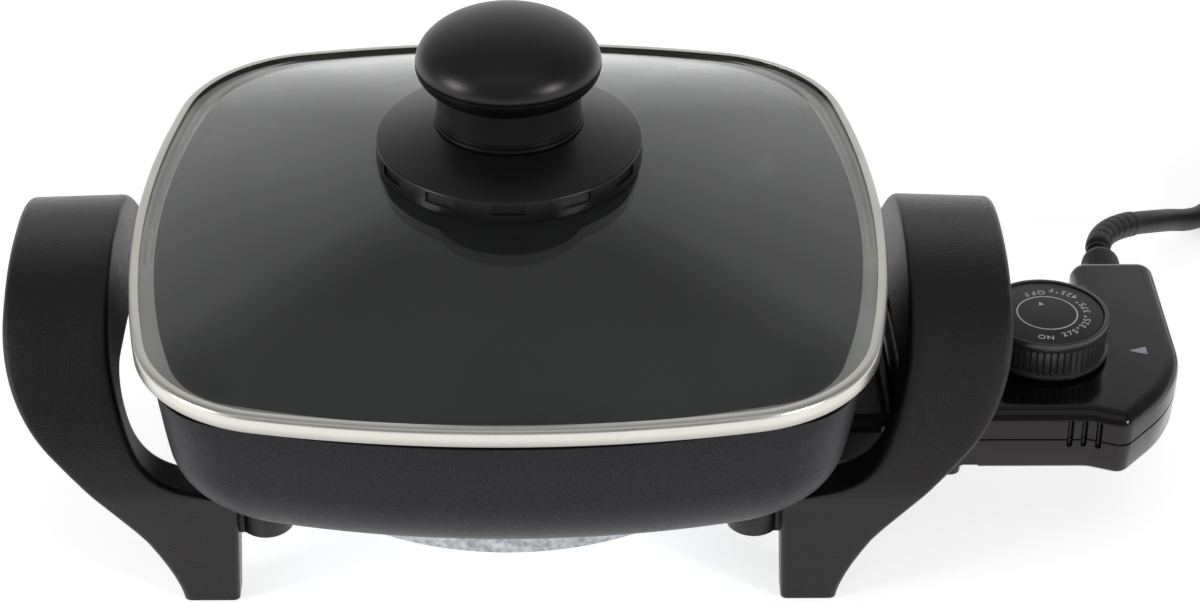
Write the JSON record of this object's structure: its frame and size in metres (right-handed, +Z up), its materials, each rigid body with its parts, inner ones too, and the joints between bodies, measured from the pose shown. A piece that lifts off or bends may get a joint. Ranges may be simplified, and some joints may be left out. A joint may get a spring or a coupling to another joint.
{
  "type": "electric skillet",
  "caption": "Square electric skillet with a domed glass lid and round knob, arch handles that form the feet, and a plug-in heat control with a dial, probe and coiled cord.",
  "frame": {"origin": "floor level under the middle of handles, pan and heat control, in the pan's front-to-rear centre plane", "axes": "+X to the right, towards the heat control; +Y to the rear; +Z up"},
  "size_m": [0.4877, 0.298, 0.1558],
  "materials": {
    "bakelite": "fine grain, satin",
    "gloss_black": "gloss",
    "nonstick": "speckled non-stick coating",
    "casting": "as cast",
    "bright_steel": "bright",
    "brass": "plain",
    "lid_glass": "clear tempered",
    "lens": "translucent",
    "rubber": "moulded",
    "silicone": "matt"
  },
  "bodies": {
    "base": {"pan": "nonstick", "heater_casting": "casting", "heating_element": "bright_steel", "terminal_pin_front": "bright_steel", "terminal_pin_rear": "bright_steel", "terminal_guard": "bakelite", "guard_screw_front": "bright_steel", "guard_screw_rear": "bright_steel", "handle_left": "bakelite", "handle_right": "bakelite", "handle_screw_left_front": "bright_steel", "handle_screw_left_rear": "bright_steel", "handle_screw_right_front": "bright_steel", "handle_screw_right_rear": "bright_steel"},
    "lid": {"lid_rim": "bright_steel", "lid_glass": "lid_glass", "knob_base": "bakelite", "knob_stem": "bakelite", "knob_cap": "bakelite", "lid_gasket": "silicone", "lid_washer": "bright_steel", "knob_screw": "bright_steel"},
    "control": {"control_upper_housing": "gloss_black", "control_lower_housing": "gloss_black", "housing_screw_left": "bright_steel", "housing_screw_rear": "bright_steel", "housing_screw_front": "bright_steel", "pointer_lens": "lens", "contact_socket_front": "brass", "contact_socket_rear": "brass", "sensor_probe": "bright_steel", "thermostat_frame": "bright_steel", "bimetal_blade": "brass", "pilot_lamp": "lens", "strain_relief": "rubber", "power_cord": "rubber", "cord_coil": "rubber", "plug_body": "rubber", "plug_blade_left": "brass", "plug_blade_right": "brass"},
    "dial": {"dial": "gloss_black", "dial_face": "bakelite", "dial_shaft": "brass"}
  },
  "joints": [
    {"name": "lid_lift", "type": "slide", "parent": "base", "child": "lid", "axis": [0, 0, 1], "range_m": [0, 0.15]},
    {"name": "control_unplug", "type": "slide", "parent": "base", "child": "control", "axis": [1, 0, 0], "range_m": [0, 0.1]},
    {"name": "dial_turn", "type": "hinge", "parent": "control", "child": "dial", "pos_m": [0.1279, 0, 0.05], "axis": [0, 0, 1], "range_deg": [-65, 252]}
  ]
}
